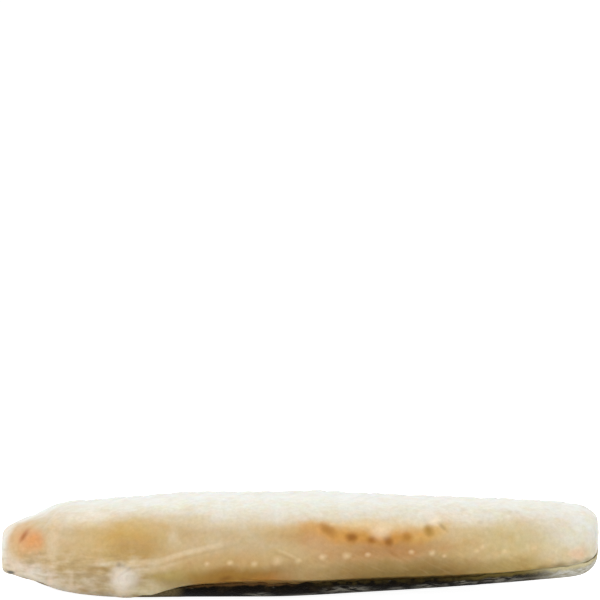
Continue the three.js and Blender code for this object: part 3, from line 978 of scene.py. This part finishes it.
def add_wet_edge(nodes, skin, tinted):
    """Pale glints where the wet lower edge meets the table."""
    rise = nodes.times(nodes.math("MAXIMUM", nodes.minus(skin.x, LOWEST_FROM), 0.0), LOWEST_SLOPE)
    over_lowest = nodes.minus(nodes.minus(seen_height(nodes, skin.y, skin.z), LOWEST), rise)
    wet = nodes.times(nodes.step(over_lowest, 0.5, -0.2), nodes.step(skin.x, -22, -12))
    glints = nodes.step(nodes.noise(skin.place, 0.12, 2.0)[0], 0.46, 0.6, 0.0, 0.3)
    return nodes.blend(nodes.times(nodes.times(wet, glints), skin.near), tinted, srgb(176, 172, 160))


def add_grey_glints(nodes, skin, tinted):
    """Grey, flecked places on the near side: painted glints, where the wet skin reflects the light."""
    group = soft_zone_group()
    side_place = nodes.join(skin.x, skin.z, 0.0)
    flecked = nodes.step(skin.fleck, 0.4, 0.6)
    for spot in GREY_GLINT_PLACES:
        # painted glints: grey where the wet skin reflects the light
        glint_share = nodes.times(zone(nodes, group, side_place, *spot), flecked)
        tinted = nodes.blend(nodes.times(glint_share, 0.8), tinted, srgb(140, 136, 124))
    return tinted


def add_cut_edge(nodes, skin, tinted):
    """Dark tufts along the cut edge, which is olive towards the tail and brown before the middle."""
    wander = nodes.noise(skin.place, 0.45, 3.0, 0.6)[0]
    ragged = nodes.plus(nodes.attribute("below_edge"), nodes.times(wander, 2.6))
    tufts = nodes.times(nodes.step(ragged, 3.4, 1.2), nodes.step(skin.spots, 0.4, 0.55))
    tinted = nodes.blend(nodes.times(tufts, nodes.step(skin.x, 0, 12)), tinted, srgb(52, 43, 19))
    olive = nodes.times(nodes.step(ragged, 4.0, 2.0), nodes.step(skin.x, 50, 90, 0.0, 0.85))
    olive = nodes.times(olive, nodes.step(skin.y, 0, -12))
    olive_colour = nodes.blend(nodes.step(skin.x, 86, 106), srgb(116, 100, 52), srgb(206, 194, 152))
    tinted = nodes.blend(olive, tinted, olive_colour)
    brown = nodes.times(nodes.step(ragged, 2.6, 1.6), nodes.step(skin.x, 0, -10))
    brown = nodes.times(brown, nodes.step(skin.x, -50, -40))
    return nodes.blend(nodes.times(brown, 0.8), tinted, srgb(88, 62, 32))


def skin_material(settings):
    """Wet, dark skin with small scales and grey flecks."""
    material, nodes, shader = new_material("wet cod skin")
    skin = SkinPatterns(nodes, settings)
    tinted = skin_ground(nodes, skin, settings)
    tinted = add_head_end(nodes, skin, tinted)
    tinted = add_silver(nodes, skin, tinted)
    tinted = add_wet_edge(nodes, skin, tinted)
    tinted = add_grey_glints(nodes, skin, tinted)
    tinted = add_cut_edge(nodes, skin, tinted)
    relief = nodes.plus(nodes.times(skin.in_scale, 0.12), nodes.times(skin.fleck, 0.3))

    nodes.fill(shader.inputs["Base Color"], tinted)
    nodes.fill(shader.inputs["Roughness"], nodes.step(skin.blotch, 0.3, 0.7, 0.3, 0.5))
    nodes.fill(shader.inputs["Normal"], nodes.dent(relief))
    shader.inputs["Specular IOR Level"].default_value = 0.03
    return material


def floor_material(settings):
    """A white table that glows a little, as a lit table does."""
    material, nodes, shader = new_material("white table")
    seen = nodes.add("ShaderNodeTexCoord").outputs["Object"]
    haze = nodes.noise(seen, 3.0, 2.0)[0]
    tint = nodes.ramp(haze, ((0.0, (0.84, 0.84, 0.84)), (1.0, (0.87, 0.87, 0.87))))
    nodes.fill(shader.inputs["Base Color"], tint)
    shader.inputs["Roughness"].default_value = 0.9
    shader.inputs["Specular IOR Level"].default_value = 0.0
    shader.inputs["Emission Color"].default_value = (1, 1, 1, 1)
    seen_directly = nodes.add("ShaderNodeLightPath").outputs["Is Camera Ray"]
    glow = nodes.step(seen_directly, 0.0, 1.0, 0.15 * settings.floor_glow, settings.floor_glow)
    nodes.fill(shader.inputs["Emission Strength"], glow)
    return material


# The pieces


def dress(piece, material, node):
    """Gives a piece its material and sets it in place of a CAD node."""
    piece.data.materials.append(material)
    bpy.ops.object.shade_smooth()
    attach(piece, "root")
    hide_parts(node)


class LOIN_OT_flesh(Operator):
    """Makes the bare flesh, with its flakes, seam and pin-bone marks."""

    bl_idname = "loin.flesh"
    bl_label = "Flesh"

    def execute(self, context):
        settings = context.scene.loin_flesh
        piece = start_piece("flesh", "cod_flesh")
        subdivide(piece, 2, "SIMPLE")
        relax(piece, 10)
        refine_trimmed_side(piece)
        relax(piece, 2)
        shape_flesh(piece, settings)
        store_flesh_patterns(piece)
        dress(piece, flesh_material(settings), "flesh")
        return {"FINISHED"}


class LOIN_OT_skin(Operator):
    """Makes the skin under the flesh, with its wavy cut edge."""

    bl_idname = "loin.skin"
    bl_label = "Skin"

    def execute(self, context):
        settings = context.scene.loin_skin
        piece = start_piece("skin", "cod_skin")
        subdivide(piece, 2)
        shape_skin(piece, settings)
        dress(piece, skin_material(settings), "skin")
        return {"FINISHED"}


# The studio


def make_table(settings):
    """The white table top that the piece lies on."""
    bpy.ops.object.select_all(action="DESELECT")
    bpy.ops.mesh.primitive_circle_add(vertices=96, radius=TABLE_RADIUS, fill_type="NGON", location=(0, 0, 0))
    floor = bpy.context.object
    floor.name = "table_top"
    floor.data.materials.append(floor_material(settings))


def light_room(scene, settings):
    """Light from all round, with a bright wall behind. The camera itself sees a white ground."""
    world = bpy.data.worlds.new("white room")
    scene.world = world
    world.use_nodes = True
    nodes = Nodes(world.node_tree)
    background = world.node_tree.nodes["Background"]
    background.inputs["Color"].default_value = (1, 1, 1, 1)
    seen_directly = nodes.add("ShaderNodeLightPath").outputs["Is Camera Ray"]
    toward = nodes.split(nodes.add("ShaderNodeTexCoord").outputs["Generated"])[1]
    room = nodes.step(toward, 0.1, 0.9, settings.sky, settings.wall)
    level = nodes.add("ShaderNodeMix", {"data_type": "FLOAT"})
    for number, value in ((0, seen_directly), (2, room), (3, GROUND_BEHIND)):
        nodes.fill(level.inputs[number], value)
    nodes.fill(background.inputs["Strength"], level.outputs[0])


def softbox(name, place, aim, size, power):
    """A wide area light that the camera doesn't see."""
    light = bpy.data.lights.new(name, "AREA")
    light.shape = "RECTANGLE"
    light.size, light.size_y = size
    light.energy = power
    lamp = bpy.data.objects.new(name, light)
    bpy.context.scene.collection.objects.link(lamp)
    lamp.location = place
    lamp.rotation_euler = (Vector(aim) - Vector(place)).to_track_quat("-Z", "Y").to_euler()
    lamp.visible_camera = False


def place_camera(scene, settings):
    """A camera with a long lens, a little above the piece and in front of its trimmed side."""
    eye = bpy.data.cameras.new("camera")
    eye.lens = settings.lens
    eye.sensor_width = 36
    camera = bpy.data.objects.new("camera", eye)
    scene.collection.objects.link(camera)
    back = -settings.distance * math.cos(settings.rise) + SECTIONS_Y * MM
    height = AIM_HEIGHT * MM + settings.distance * math.sin(settings.rise)
    camera.location = (CAMERA_X * MM, back, height)
    camera.rotation_euler = (math.pi / 2 - math.radians(CAMERA_DOWN), 0, 0)
    scene.camera = camera


class LOIN_OT_stage(Operator):
    """Makes the white table, the light all round, the softboxes and the camera."""

    bl_idname = "loin.stage"
    bl_label = "Stage"

    def execute(self, context):
        settings = context.scene.loin_stage
        make_table(settings)
        light_room(context.scene, settings)
        for name, place, aim, size, power in SOFTBOXES:
            softbox(name, place, aim, size, power)
        place_camera(context.scene, settings)
        context.scene.view_settings.view_transform = "Standard"
        return {"FINISHED"}


class LOIN_PT_pieces(Panel):
    """The pieces of the loin, with their sizes and colours."""

    bl_idname = "LOIN_PT_pieces"
    bl_label = "Cod loin"
    bl_space_type = "VIEW_3D"
    bl_region_type = "UI"
    bl_category = "Cod loin"

    def draw(self, context):
        for operator, settings in (
            ("loin.flesh", context.scene.loin_flesh),
            ("loin.skin", context.scene.loin_skin),
            ("loin.stage", context.scene.loin_stage),
        ):
            box = self.layout.box()
            box.operator(operator)
            for name in settings.__annotations__:
                box.prop(settings, name)


CLASSES = (
    FleshSettings, SkinSettings, StageSettings,
    LOIN_OT_flesh, LOIN_OT_skin, LOIN_OT_stage, LOIN_PT_pieces,
)


def register():
    for made in CLASSES:
        bpy.utils.register_class(made)
    bpy.types.Scene.loin_flesh = PointerProperty(type=FleshSettings)
    bpy.types.Scene.loin_skin = PointerProperty(type=SkinSettings)
    bpy.types.Scene.loin_stage = PointerProperty(type=StageSettings)


def unregister():
    del bpy.types.Scene.loin_flesh
    del bpy.types.Scene.loin_skin
    del bpy.types.Scene.loin_stage
    for made in reversed(CLASSES):
        bpy.utils.unregister_class(made)


def main():
    register()
    bpy.ops.loin.flesh()
    bpy.ops.loin.skin()
    bpy.ops.loin.stage()


if __name__ == "__main__":
    main()
